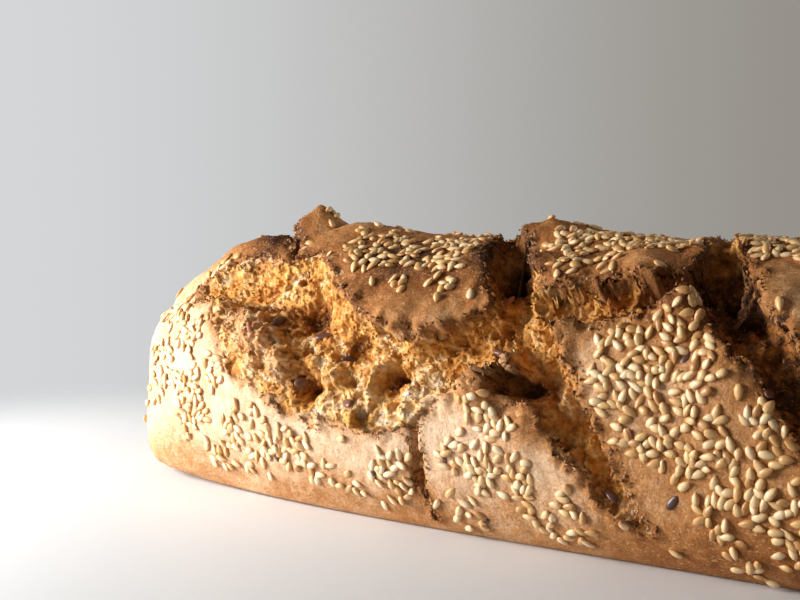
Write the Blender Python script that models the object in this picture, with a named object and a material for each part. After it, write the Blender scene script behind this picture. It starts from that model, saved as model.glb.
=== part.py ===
# Long rye loaf, slashed and torn open in the oven, with sesame and linseed baked on.
# Units are metres, +Z is up and the loaf stands on z = 0 with its long axis on X.
# The side with the wide tear, the front, faces -Y.
#
# Places on the crust are given as two numbers: x, the place along the loaf, and w, the
# distance round the section from the crest line, positive down the front.

import math
import random

import bmesh
import bpy
import numpy as np
from mathutils import Matrix, Vector

MM = 0.001

# Driving sizes of the plain loaf, before it tears
LENGTH = 317 * MM
WIDTH = 92 * MM
HEIGHT = 68 * MM
WIDEST_AT = 26 * MM         # height of the widest line of the section
SOLE_SINK = 7 * MM          # how far the rounded underside is pressed flat
END_HEIGHT = 24 * MM        # height of the tip of each end
END_BLUNTNESS = 3.05        # exponent of the plan outline: 2 is an ellipse, more is blunter
TOP_ROUNDNESS = 2.3         # exponents of the section above and below its widest line
LOW_ROUNDNESS = 2.9
TOP_DROOP = 0.62            # how fast the top falls and the underside lifts at the ends
SOLE_LIFT = 0.15
SPINE_END = 105 * MM        # the crust swells away from a spine that stops short of the ends
SPINE_HEIGHT = 24 * MM

# The long tear down the front shoulder: x, w, half width and depth, in millimetres
LONG_TEAR = [
    (-129, 40, 1.5, 2), (-121, 34, 7.5, 4.5), (-112, 34, 10.5, 5.5), (-104, 41, 15.5, 6),
    (-95, 45.5, 20, 5.5), (-86, 51, 17.5, 5.5), (-78, 56, 15.5, 5.5), (-68, 60, 13, 5.5),
    (-58, 61, 12, 5.5), (-48, 58.5, 9, 5), (-39, 54.5, 7, 5), (-30, 47, 7, 6),
    (-20, 40.5, 5.5, 6), (-8, 38, 5, 5.5), (3, 37, 5.5, 5), (11, 31.5, 5, 5), (20, 35.5, 5.5, 7),
    (31, 48, 5.5, 6), (44, 60, 6.5, 6), (58, 64, 9, 6), (76, 61, 12, 5), (94, 53, 12, 5),
    (114, 43, 9, 5), (134, 36, 3, 3),
]
# Slashes across the loaf, slanting towards +X down the front: x at the crest, how far they run
# down the back and the front in w, half width, depth, slant, bend
SLASHES = [
    (-118, -8, 26, 3.2, 4, 0.8, 0), (-47.5, -58, 88, 7, 8, 0.45, 0.0019),
    (10, -62, 80, 5.5, 7, 0.10, 0.0068), (66, -58, 84, 6, 7, 0.25, 0.005),
    (114, -46, 50, 5, 6, 0.3, 0.003),
]
SLASH_STATIONS = 9
SLASH_TAPER = 0.95          # share of its section that a slash loses towards either end
CREST_SHARE = 0.14          # share of its depth that a slash has on the crest line
SHOULDER = 28               # millimetres from the crest line to where it has its full depth
# A thin crack low on the front and a notch behind a raised corner: x, w, half width, depth
CRACK = [(-49, 70, 1.8, 4), (-47, 82, 1.5, 3.5), (-44, 94, 0.8, 2)]
NOTCH = [(-28, 57, 2.5, 3.5), (-22, 60, 4, 5), (-12, 60, 3.5, 3)]
# Deeper hollows, and lips where the depth is less than nothing: x, w, radius, depth
HOLLOWS = [
    (-86, 42, 4.5, 3.5), (-80, 49, 4, 1.5), (-80, 65, 3.2, 3.5), (-94, 60, 3, 2.5),
    (-56.5, 61, 3.5, 4.5), (-68, 52, 5, 3), (-105, 49, 7, -8), (-97, 55, 6.5, -8),
    (-89, 60, 5, -6.5), (-35, 23, 6, 5), (-24, 59.5, 4, 5), (-4, 66, 3.5, 3.5),
    (-8, 35.5, 4, 2.5), (4, 34, 5, 3), (17, 28, 4, 7), (41, 60, 4.5, 4), (76, 56, 6, 4),
    (94, 60, 5, 3), (112, 38, 5, 3), (-80, 57, 7, -3), (-66, 64, 9, -3), (-53, 65, 7, -2.5),
]
# Corners and edges of crust that curl up: x, w, height, radius
CURLS = [
    (-105.5, 3, 10.5, 8.5), (-93, 3, 5, 14), (-82, 27, 3, 8), (-72, 41, 2.5, 8),
    (-58, 46, 3, 9), (-47, 47, 2.5, 7), (-113, 52, 1.8, 7), (-101, 62, 2, 7), (-91, 69, 2, 6),
    (-31.5, 59.5, 6, 6), (-19, 66, 3, 6), (-33.5, 5, 4.8, 10), (-27, 24, 2.5, 8), (-43, 22, 2, 7),
    (-18, 29, 2.5, 7), (0, 26, 4, 10), (9, 20, 2.5, 8), (-14, 8, 1.5, 14), (-15, 45, 3.5, 6),
    (12.5, 38.5, 5.5, 6.5), (24, 53, 2, 7), (19, 10, 1.5, 10), (32, 36, 3, 8),
    (-116, 13, 4, 9), (76, 6, 3.5, 11), (56, 50, 3, 9), (60, 78, 3.5, 7), (92, 76, 3, 9),
    (122, 6, 3.5, 10), (112, 60, 3, 8), (-72, -36, 4, 10), (-8, -34, 4, 10), (46, -36, 4, 10),
    (98, -30, 3, 9),
]
# Slow rises and falls of the crust, in the same numbers
RISES = [
    (-143, 31, -4.5, 11), (-129, 8, 3.4, 10), (-112, 2, -2.5, 5), (-141, 92, 2.5, 15),
    (-50, -1, -1.8, 8), (-34, 20, -2.5, 7), (-26, -4, 1, 12),
]

CURL_POWER = 1.4            # 2 is a round curl, less is more pointed
WALL = 0.34                 # share of a tear's half width that its wall takes
RAGGED = 1.9 * MM           # how far the torn edges wander
RAGGED_SIZE = 7 * MM
RAGGED_FINE = 2.6           # how much smaller the finer wandering is, at half the strength
LUMPS = 1.6 * MM            # relief of the torn crumb, large and small
LUMP_SIZE = 8 * MM
CRAGS = 1.2 * MM
CRAG_SIZE = 4 * MM
SWELL = 1.0 * MM            # slow unevenness of the whole crust
SWELL_SIZE = 34 * MM
DIMPLE = 0.5 * MM
DIMPLE_SIZE = 12 * MM
SOLE_FADE = 5 * MM          # relief fades out this far above the sole

RINGS = 250                 # faces along and around the loaf before it is thinned
SEGMENTS = 210
CRUST_FACES = 6300          # triangles kept
FLAT_BELOW = 0.15 * MM      # what the thinning lifts off the table less than this is set down

SESAME = (3.3 * MM, 2.0 * MM, 1.2 * MM)     # length, width, thickness
LINSEED = (5.0 * MM, 2.5 * MM, 1.3 * MM)
SESAME_COUNT = 118
LINSEED_COUNT = 10
SEED_GAP = 7.5 * MM         # least distance between two seeds
SEED_TAPER = 0.45           # how much narrower a seed is at its tip
SEEDED_TO = 70 * MM         # sesame thins out from this w on, and ends at the next
SEEDLESS_FROM = 98 * MM
BACK_SHARE = 0.45           # how thickly the back is strewn, beside the top and front
SEED_SHOWS = 0.30           # how far a seed's middle stands out, as a share of its thickness
RANDOM_SEED = 11

CRUST_COLOUR = (0.46, 0.25, 0.11, 1)


def smooth(low, high, value):
    t = np.clip((value - low) / (high - low), 0, 1)
    return t * t * (3 - 2 * t)


def lattice_values(cell, seed):
    # One number from -1 to 1 for each whole-numbered point of space
    h = cell[..., 0] * 374761393 + cell[..., 1] * 668265263 + cell[..., 2] * 1440662683 + seed * 974711
    h = (h ^ (h >> 13)) * 1274126177
    h = (h ^ (h >> 16)) & 0xFFFF
    return h / 32767.5 - 1


def noise(points, size, seed):
    # Smooth noise from -1 to 1: lattice values blended over each cube of the given size
    scaled = points / size
    cell = np.floor(scaled).astype(np.int64)
    t = scaled - cell
    t = t * t * t * (t * (t * 6 - 15) + 10)
    total = np.zeros(len(points))
    for corner in np.ndindex(2, 2, 2):
        share = np.prod(np.where(corner, t, 1 - t), axis=-1)
        total += share * lattice_values(cell + np.array(corner), seed)
    return total


def signed_power(value, exponent):
    return np.sign(value) * np.abs(value) ** exponent


def section_outline(count=4001):
    # The middle section, from the bottom round the back and crest to the front: y, z and
    # the distance w from the crest
    turn = np.linspace(-math.pi, math.pi, count)
    upper = np.cos(turn) > 0
    power = np.where(upper, 2 / TOP_ROUNDNESS, 2 / LOW_ROUNDNESS)
    y = -WIDTH / 2 * signed_power(np.sin(turn), power)
    reach = np.where(upper, HEIGHT - WIDEST_AT, -(WIDEST_AT + SOLE_SINK))
    z = np.maximum(WIDEST_AT + reach * np.abs(np.cos(turn)) ** power, 0)
    w = np.concatenate([[0], np.cumsum(np.hypot(np.diff(y), np.diff(z)))])
    return y, z, w - w[count // 2]


def plan_outline(count=4001):
    # The plan from tip to tip: x, the share of the full width there, and the distance
    turn = np.linspace(0, math.pi, count)
    x = -LENGTH / 2 * signed_power(np.cos(turn), 2 / END_BLUNTNESS)
    share = np.abs(np.sin(turn)) ** (2 / END_BLUNTNESS)
    along = np.concatenate([[0], np.cumsum(np.hypot(np.diff(x), np.diff(share * WIDTH / 2)))])
    return x, share, along


SECTION_Y, SECTION_Z, SECTION_W = section_outline()
PLAN_X, PLAN_SHARE, PLAN_ALONG = plan_outline()


def plain_loaf(x, share, w):
    # Points of the loaf before it tears, and the direction in which the crust swells
    y = np.interp(w, SECTION_W, SECTION_Y) * share
    z = np.interp(w, SECTION_W, SECTION_Z)
    fall = np.where(z > END_HEIGHT, share ** TOP_DROOP, share ** SOLE_LIFT)
    points = np.stack([x, y, END_HEIGHT + (z - END_HEIGHT) * fall], axis=-1)
    spine = np.stack([np.clip(x, -SPINE_END, SPINE_END), 0 * x, 0 * x + SPINE_HEIGHT], axis=-1)
    out = points - spine
    return points, out / np.linalg.norm(out, axis=-1, keepdims=True)


def slash_route(crest_x, back, front, half_width, depth, slant, bend):
    # Stations of one slash from its back end to its front end, as in LONG_TEAR
    w = np.linspace(back, front, SLASH_STATIONS)
    past = np.where(w < 0, w / back, w / front)
    narrowing = np.sqrt(1 - SLASH_TAPER * past ** 3)
    deepening = CREST_SHARE + (1 - CREST_SHARE) * smooth(0, 1, np.abs(w) / SHOULDER)
    x = crest_x + slant * w + bend * w * np.abs(w)
    half_widths = half_width * narrowing * np.sqrt(deepening)
    return np.stack([x, w, half_widths, depth * narrowing * deepening], axis=-1) * MM


def tear_depth(x, w, route):
    # Depth of one tear at each place, and how far inside it the place is, 0 at its edge
    deepest = np.zeros_like(x)
    inside = np.full_like(x, -1.0)
    for start, end in zip(route[:-1], route[1:]):
        run = end[:2] - start[:2]
        t = np.clip(((x - start[0]) * run[0] + (w - start[1]) * run[1]) / (run @ run), 0, 1)
        across = np.hypot(x - start[0] - t * run[0], w - start[1] - t * run[1])
        half_width = start[2] + t * (end[2] - start[2])
        depth = start[3] + t * (end[3] - start[3])
        share = 1 - across / half_width
        deepest = np.maximum(deepest, depth * smooth(0, WALL, share))
        inside = np.maximum(inside, share)
    return deepest, inside


ROUTES = [np.array(LONG_TEAR) * MM, np.array(CRACK) * MM, np.array(NOTCH) * MM]
ROUTES += [slash_route(*slash) for slash in SLASHES]


def tears(points, x, w):
    # Depth of all tears together, and the share of torn crumb, 0 on crust and 1 in a tear
    fine = RAGGED_SIZE / RAGGED_FINE
    x = x + RAGGED * (noise(points, RAGGED_SIZE, 1) + 0.5 * noise(points, fine, 2))
    w = w + RAGGED * (noise(points, RAGGED_SIZE, 3) + 0.5 * noise(points, fine, 4))
    found = [tear_depth(x, w, route) for route in ROUTES]
    depth = np.max([d for d, _ in found], axis=0)
    inside = np.max([i for _, i in found], axis=0)
    torn = smooth(0, WALL / 2, inside)
    for place_x, place_w, radius, extra in np.array(HOLLOWS) * MM:
        away = np.hypot(x - place_x, w - place_w) / radius
        depth = depth + torn * extra * np.exp(-(away ** 2))
    return depth, torn


def curled_edges(x, w):
    # Curls stand on the crust only, so each ends in a cliff where the tear begins
    height = np.zeros_like(x)
    for place_x, place_w, rise, radius in np.array(CURLS) * MM:
        away = np.hypot(x - place_x, w - place_w) / radius
        height = np.maximum(height, rise * np.exp(-(away ** CURL_POWER)))
    return height


def slow_rises(x, w):
    height = np.zeros_like(x)
    for place_x, place_w, rise, radius in np.array(RISES) * MM:
        away = np.hypot(x - place_x, w - place_w) / radius
        height = height + rise * np.exp(-(away ** 2))
    return height


def torn_loaf(x, share, w):
    # The baked surface: the plain loaf, swollen, curled, torn and craggy
    points, out = plain_loaf(x, share, w)
    depth, torn = tears(points, x, w)
    crags = LUMPS * noise(points, LUMP_SIZE, 5) + CRAGS * noise(points, CRAG_SIZE, 6)
    crust = SWELL * noise(points, SWELL_SIZE, 7) + DIMPLE * noise(points, DIMPLE_SIZE, 8) + slow_rises(x, w)
    relief = crust + (1 - torn) * curled_edges(x, w) + torn * crags - depth
    relief = relief * smooth(0, SOLE_FADE, points[:, 2])
    baked = points + out * relief[:, None]
    baked[:, 2] = np.maximum(baked[:, 2], 0)
    return baked, out, torn


def vertex_array(mesh):
    points = np.empty(len(mesh.vertices) * 3)
    mesh.vertices.foreach_get("co", points)
    return points.reshape(-1, 3)


def apply_modifier(obj, modifier):
    with bpy.context.temp_override(object=obj, active_object=obj):
        bpy.ops.object.modifier_apply(modifier=modifier.name)


def make_material(name, colour, roughness):
    material = bpy.data.materials.new(name)
    material.use_nodes = True
    shader = material.node_tree.nodes["Principled BSDF"]
    shader.inputs["Base Color"].default_value = colour
    shader.inputs["Roughness"].default_value = roughness
    shader.inputs["Metallic"].default_value = 0
    return material


def make_crust(collection):
    # A sphere with its poles at the two ends of the loaf, moved point by point to the crust
    bm = bmesh.new()
    bmesh.ops.create_uvsphere(
        bm, u_segments=SEGMENTS, v_segments=RINGS, radius=1, matrix=Matrix.Rotation(math.pi / 2, 4, "Y")
    )
    mesh = bpy.data.meshes.new("rye_loaf")
    bm.to_mesh(mesh)
    bm.free()
    ball = vertex_array(mesh)
    ball /= np.linalg.norm(ball, axis=1, keepdims=True)
    along = np.arccos(np.clip(-ball[:, 0], -1, 1)) / math.pi * PLAN_ALONG[-1]
    around = np.arctan2(-ball[:, 1], ball[:, 2]) / math.pi * SECTION_W[-1]
    x = np.interp(along, PLAN_ALONG, PLAN_X)
    share = np.interp(along, PLAN_ALONG, PLAN_SHARE)
    baked = torn_loaf(x, share, around)[0]
    mesh.vertices.foreach_set("co", baked.astype(np.float32).ravel())
    crust = bpy.data.objects.new("rye_loaf", mesh)
    collection.objects.link(crust)

    thin = crust.modifiers.new("fewer faces", "DECIMATE")
    thin.ratio = CRUST_FACES / (2 * SEGMENTS * (RINGS - 1))
    apply_modifier(crust, thin)
    points = vertex_array(mesh)
    points[points[:, 2] < FLAT_BELOW, 2] = 0
    mesh.vertices.foreach_set("co", points.astype(np.float32).ravel())
    mesh.materials.append(make_material("rye crust", CRUST_COLOUR, 0.75))
    return crust


def seeded_share(w):
    # Share of the places that hold seeds: most on top and on the front, fewer on the back
    # and low down
    low = smooth(SEEDLESS_FROM, SEEDED_TO, abs(w))
    back = BACK_SHARE + (1 - BACK_SHARE) * smooth(-30 * MM, 5 * MM, w)
    return low * back


def seed_places(count, torn_wanted, draw, taken):
    # Places on the crust that are at least SEED_GAP from all others, found by trying
    found = []
    while len(found) < count:
        along = draw.random() * PLAN_ALONG[-1]
        w = draw.uniform(-SEEDLESS_FROM, SEEDLESS_FROM)
        chance = draw.random()
        turn = draw.uniform(0, 2 * math.pi)
        x = np.interp([along], PLAN_ALONG, PLAN_X)
        share = np.interp([along], PLAN_ALONG, PLAN_SHARE)
        point, out, torn = torn_loaf(x, share, np.array([w]))
        if chance > seeded_share(w) or (torn[0] > 0.5) != torn_wanted:
            continue
        place = Vector(point[0])
        if any((place - other).length < SEED_GAP for other in taken):
            continue
        taken.append(place)
        found.append((place, Vector(out[0]), turn))
    return found


def make_seed(name, size, place, out, turn, collection):
    bm = bmesh.new()
    bmesh.ops.create_uvsphere(
        bm, u_segments=5, v_segments=3, radius=0.5, matrix=Matrix.Rotation(math.pi / 2, 4, "Y")
    )
    for vertex in bm.verts:
        taper = 1 - SEED_TAPER * vertex.co.x
        vertex.co = Vector((vertex.co.x * size[0], vertex.co.y * size[1] * taper, vertex.co.z * size[2]))
    mesh = bpy.data.meshes.new(name)
    bm.to_mesh(mesh)
    bm.free()
    seed = bpy.data.objects.new(name, mesh)
    lie = out.to_track_quat("Z", "Y").to_matrix().to_4x4() @ Matrix.Rotation(turn, 4, "Z")
    seed.matrix_world = Matrix.Translation(place + out * size[2] * SEED_SHOWS) @ lie
    collection.objects.link(seed)


def settle_on_crust(places, crust):
    # Each seed goes to the nearest point of the thinned crust and lies flat on the face there
    settled = []
    for place, out, turn in places:
        found, point, normal, _ = crust.closest_point_on_mesh(place)
        settled.append((point, normal, turn) if found else (place, out, turn))
    return settled


def bake_seeds_on(crust, collection):
    seeds = bpy.data.collections.new("seeds to join")
    bpy.context.scene.collection.children.link(seeds)
    draw = random.Random(RANDOM_SEED)
    taken = []
    sesame = seed_places(SESAME_COUNT, False, draw, taken)
    linseed = seed_places(LINSEED_COUNT, True, draw, taken)
    for size, places in ((SESAME, sesame), (LINSEED, linseed)):
        for number, (place, out, turn) in enumerate(settle_on_crust(places, crust)):
            make_seed(f"seed {size[0] / MM:.1f} {number}", size, place, out, turn, seeds)
    join = crust.modifiers.new("seeds", "BOOLEAN")
    join.operation = "UNION"
    join.operand_type = "COLLECTION"
    join.collection = seeds
    join.solver = "MANIFOLD"
    apply_modifier(crust, join)
    for seed in list(seeds.objects):
        bpy.data.objects.remove(seed)
    bpy.data.collections.remove(seeds)


def centre_on_origin(crust):
    # The origin is the middle of the loaf's box, on the table
    points = vertex_array(crust.data)
    middle = (points.min(axis=0) + points.max(axis=0)) / 2
    points -= [middle[0], middle[1], 0]
    crust.data.vertices.foreach_set("co", points.astype(np.float32).ravel())
    crust.data.update()


def main():
    for obj in list(bpy.data.objects):
        bpy.data.objects.remove(obj)
    loaf = bpy.data.collections.new("rye bread loaf")
    bpy.context.scene.collection.children.link(loaf)
    crust = make_crust(loaf)
    bake_seeds_on(crust, loaf)
    centre_on_origin(crust)
    crust.data.shade_smooth()
    crust.data.set_sharp_from_angle(angle=math.radians(40))


main()
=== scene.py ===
import math

import bpy
import numpy as np
from mathutils import Matrix, Vector


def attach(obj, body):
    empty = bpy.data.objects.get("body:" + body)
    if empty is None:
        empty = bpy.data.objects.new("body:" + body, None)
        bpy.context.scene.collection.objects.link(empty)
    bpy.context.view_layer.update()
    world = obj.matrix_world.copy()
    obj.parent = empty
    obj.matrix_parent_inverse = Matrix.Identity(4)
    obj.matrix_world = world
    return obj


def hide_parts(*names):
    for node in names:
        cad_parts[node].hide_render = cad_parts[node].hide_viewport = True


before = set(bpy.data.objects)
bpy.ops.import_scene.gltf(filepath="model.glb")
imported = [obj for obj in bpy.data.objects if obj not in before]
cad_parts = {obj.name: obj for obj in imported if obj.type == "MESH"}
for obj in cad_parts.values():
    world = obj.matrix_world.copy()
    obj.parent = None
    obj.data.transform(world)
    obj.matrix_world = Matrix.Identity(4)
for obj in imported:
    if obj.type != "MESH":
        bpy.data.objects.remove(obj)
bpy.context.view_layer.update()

mm = 0.001

# A seeded rye loaf, slashed and torn open along its front shoulder.
# Shapes are worked out in millimetres. A place on the loaf is x, the distance along it, and w,
# the distance round its section from the crest line, positive down the front.

# Sizes of the loaf before it tears
loaf = {
    "length": 317, "width": 92, "height": 68, "widestAt": 26, "soleSink": 7, "endHeight": 24,
    "endBluntness": 3.05, "topRoundness": 2.3, "lowRoundness": 2.9, "topDroop": 0.62,
    "soleLift": 0.15, "spineEnd": 105, "spineHeight": 24,
    "evenBelow": 5,     # relief grows from none at the table to all of it at this height
    "swells": [(1, 34, 7), (0.5, 12, 8)],   # height, size and seed of each layer of noise
}

# Where the crust has torn, each place as x, w, half width, depth
tearing = {
    "longTear": [
        (-129, 40, 1.5, 2), (-121, 34, 7.5, 4.5), (-112, 34, 10.5, 5.5), (-104, 41, 15.5, 6),
        (-95, 45.5, 20, 5.5), (-86, 51, 17.5, 5.5), (-78, 56, 15.5, 5.5), (-68, 60, 13, 5.5),
        (-58, 61, 12, 5.5), (-48, 58.5, 9, 5), (-39, 54.5, 7, 5), (-30, 47, 7, 6),
        (-20, 40.5, 5.5, 6), (-8, 38, 5, 5.5), (3, 37, 5.5, 5), (11, 31.5, 5, 5), (20, 35.5, 5.5, 7),
        (31, 48, 5.5, 6), (44, 60, 6.5, 6), (58, 64, 9, 6), (76, 61, 12, 5), (94, 53, 12, 5),
        (114, 43, 9, 5), (134, 36, 3, 3),
    ],
    "crack": [(-49, 70, 1.8, 4), (-47, 82, 1.5, 3.5), (-44, 94, 0.8, 2)],
    "notch": [(-28, 57, 2.5, 3.5), (-22, 60, 4, 5), (-12, 60, 3.5, 3)],
    # x at the crest, reach down the back and the front, half width, depth, slant, bend
    "slashes": [
        (-118, -8, 26, 3.2, 4, 0.8, 0), (-47.5, -58, 88, 7, 8, 0.45, 0.0019),
        (10, -62, 80, 5.5, 7, 0.10, 0.0068), (66, -58, 84, 6, 7, 0.25, 0.005),
        (114, -46, 50, 5, 6, 0.3, 0.003),
    ],
    "stations": 9, "taper": 0.95, "crestShare": 0.14, "shoulder": 28,
    # x, w, radius, extra depth
    "hollows": [
        (-86, 42, 4.5, 3.5), (-80, 49, 4, 1.5), (-80, 65, 3.2, 3.5), (-94, 60, 3, 2.5),
        (-56.5, 61, 3.5, 4.5), (-68, 52, 5, 3), (-105, 49, 7, -8), (-97, 55, 6.5, -8),
        (-89, 60, 5, -6.5), (-35, 23, 6, 5), (-24, 59.5, 4, 5), (-4, 66, 3.5, 3.5),
        (-8, 35.5, 4, 2.5), (4, 34, 5, 3), (17, 28, 4, 7), (41, 60, 4.5, 4), (76, 56, 6, 4),
        (94, 60, 5, 3), (112, 38, 5, 3), (-80, 57, 7, -3), (-66, 64, 9, -3), (-53, 65, 7, -2.5),
    ],
    # x, w, height, radius of the corners that curl up
    "curls": [
        (-105.5, 3, 10.5, 8.5), (-93, 3, 5, 14), (-82, 27, 3, 8), (-72, 41, 2.5, 8),
        (-58, 46, 3, 9), (-47, 47, 2.5, 7), (-113, 52, 1.8, 7), (-101, 62, 2, 7), (-91, 69, 2, 6),
        (-31.5, 59.5, 6, 6), (-19, 66, 3, 6), (-33.5, 5, 4.8, 10), (-27, 24, 2.5, 8), (-43, 22, 2, 7),
        (-18, 29, 2.5, 7), (0, 26, 4, 10), (9, 20, 2.5, 8), (-14, 8, 1.5, 14), (-15, 45, 3.5, 6),
        (12.5, 38.5, 5.5, 6.5), (24, 53, 2, 7), (19, 10, 1.5, 10), (32, 36, 3, 8),
        (-116, 13, 4, 9), (76, 6, 3.5, 11), (56, 50, 3, 9), (60, 78, 3.5, 7), (92, 76, 3, 9),
        (122, 6, 3.5, 10), (112, 60, 3, 8), (-72, -36, 4, 10), (-8, -34, 4, 10), (46, -36, 4, 10),
        (98, -30, 3, 9),
    ],
    # x, w, height, radius of the slow rises and falls of the crust
    "rises": [
        (-143, 31, -4.5, 11), (-129, 8, 3.4, 10), (-112, 2, -2.5, 5), (-141, 92, 2.5, 15),
        (-50, -1, -1.8, 8), (-34, 20, -2.5, 7), (-26, -4, 1, 12),
    ],
    "wall": 0.34, "ragged": 1.9, "raggedSize": 7, "raggedFine": 2.6, "raggedShare": 0.5,
    "finest": [(0.8, 2.1), (0.4, 1.0)],     # height and size of the finest raggedness
    "curlPower": 1.4,
}


def smooth(low, high, value):
    # 0 at low and 1 at high, with t^2 (3 - 2 t) between
    t = np.clip((value - low) / (high - low), 0, 1)
    return t * t * (3 - 2 * t)


def unit(vectors):
    # each vector divided by its length
    return vectors / np.maximum(np.linalg.norm(vectors, axis=-1, keepdims=True), 1e-9)


spacePrimes = (374761393, 668265263, 1440662683)
seedPrime, mixingPrime = 974711, 1274126177


def latticeValues(cell, seed):
    # one number from -1 to 1 for each whole-numbered point: its coordinates times primes, mixed
    h = seed * seedPrime + sum(cell[..., axis] * prime for axis, prime in enumerate(spacePrimes))
    h = (h ^ (h >> 13)) * mixingPrime
    h = (h ^ (h >> 16)) & 0xFFFF
    return h / 32767.5 - 1


def noise(points, size, seed):
    # lattice values blended smoothly over each cube of the given size, from -1 to 1
    scaled = points / size
    cell = np.floor(scaled).astype(np.int64)
    t = scaled - cell
    t = t * t * t * (t * (t * 6 - 15) + 10)
    total = np.zeros(len(points))
    for corner in np.ndindex(2, 2, 2):
        share = np.prod(np.where(corner, t, 1 - t), axis=-1)
        total += share * latticeValues(cell + np.array(corner), seed)
    return total


def layered(points, layers):
    # the sum of each layer's height times noise of its size and seed
    return sum(height * noise(points, size, seed) for height, size, seed in layers)


def ridges(points, size, seed):
    # sharp crests where the noise crosses zero, from -1 to 1
    return 1 - 4 * np.abs(noise(points, size, seed))


def pores(points, size, seed):
    # round pits, one at a random place in each cube, 1 - away^2 deep
    scaled = points / size
    cell = np.floor(scaled).astype(np.int64)
    deepest = np.zeros(len(points))
    for step in np.ndindex(3, 3, 3):
        near = cell + np.array(step) - 1
        wander = np.stack([latticeValues(near, seed + axis) for axis in range(3)], axis=-1)
        radius = np.maximum(0.20 + 0.26 * latticeValues(near, seed + 3), 0.03)
        away = np.linalg.norm(scaled - (near + 0.5 + 0.5 * wander), axis=-1) / radius
        deepest = np.maximum(deepest, np.clip(1 - away ** 2, 0, 1))
    return deepest


def signedPower(value, exponent):
    # the value's size to the power of the exponent, with the value's sign
    return np.sign(value) * np.abs(value) ** exponent


def sectionOutline(count=4001):
    # superellipse: y = -W/2 sin^p, z = widest line + reach cos^p, cut off flat at the table
    turn = np.linspace(-math.pi, math.pi, count)
    upper = np.cos(turn) > 0
    power = np.where(upper, 2 / loaf["topRoundness"], 2 / loaf["lowRoundness"])
    y = -loaf["width"] / 2 * signedPower(np.sin(turn), power)
    reach = np.where(upper, loaf["height"] - loaf["widestAt"], -(loaf["widestAt"] + loaf["soleSink"]))
    z = np.maximum(loaf["widestAt"] + reach * np.abs(np.cos(turn)) ** power, 0)
    w = np.concatenate([[0], np.cumsum(np.hypot(np.diff(y), np.diff(z)))])
    return y, z, w - w[count // 2]


def planOutline(count=4001):
    # superellipse from tip to tip: x, the share of the full width there, and the distance
    turn = np.linspace(0, math.pi, count)
    x = -loaf["length"] / 2 * signedPower(np.cos(turn), 2 / loaf["endBluntness"])
    share = np.abs(np.sin(turn)) ** (2 / loaf["endBluntness"])
    along = np.concatenate([[0], np.cumsum(np.hypot(np.diff(x), np.diff(share * loaf["width"] / 2)))])
    return x, share, along


sectionY, sectionZ, sectionW = sectionOutline()
planX, planShare, planAlong = planOutline()


def plainLoaf(x, w):
    # section scaled by the plan's share at x; out points away from a spine inside the loaf
    share = np.clip(1 - np.abs(x / (loaf["length"] / 2)) ** loaf["endBluntness"], 0, 1)
    share = share ** (1 / loaf["endBluntness"])
    y = np.interp(w, sectionW, sectionY) * share
    z = np.interp(w, sectionW, sectionZ)
    fall = np.where(z > loaf["endHeight"], share ** loaf["topDroop"], share ** loaf["soleLift"])
    points = np.stack([x, y, loaf["endHeight"] + (z - loaf["endHeight"]) * fall], axis=-1)
    spineX = np.clip(x, -loaf["spineEnd"], loaf["spineEnd"])
    out = points - np.stack([spineX, 0 * x, 0 * x + loaf["spineHeight"]], axis=-1)
    return points, unit(out)


def slashRoute(crestX, back, front, halfWidth, depth, slant, bend):
    # a slanting line over the crest, narrowing to both ends, narrow and shallow on the crest
    w = np.linspace(back, front, tearing["stations"])
    past = np.where(w < 0, w / back, w / front)
    narrowing = np.sqrt(1 - tearing["taper"] * past ** 3)
    least = tearing["crestShare"]
    deepening = least + (1 - least) * smooth(0, 1, np.abs(w) / tearing["shoulder"])
    x = crestX + slant * w + bend * w * np.abs(w)
    halfWidths = halfWidth * narrowing * np.sqrt(deepening)
    return np.stack([x, w, halfWidths, depth * narrowing * deepening], axis=-1)


routes = [np.array(tearing[name]) for name in ("longTear", "crack", "notch")]
routes += [slashRoute(*slash) for slash in tearing["slashes"]]


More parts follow.
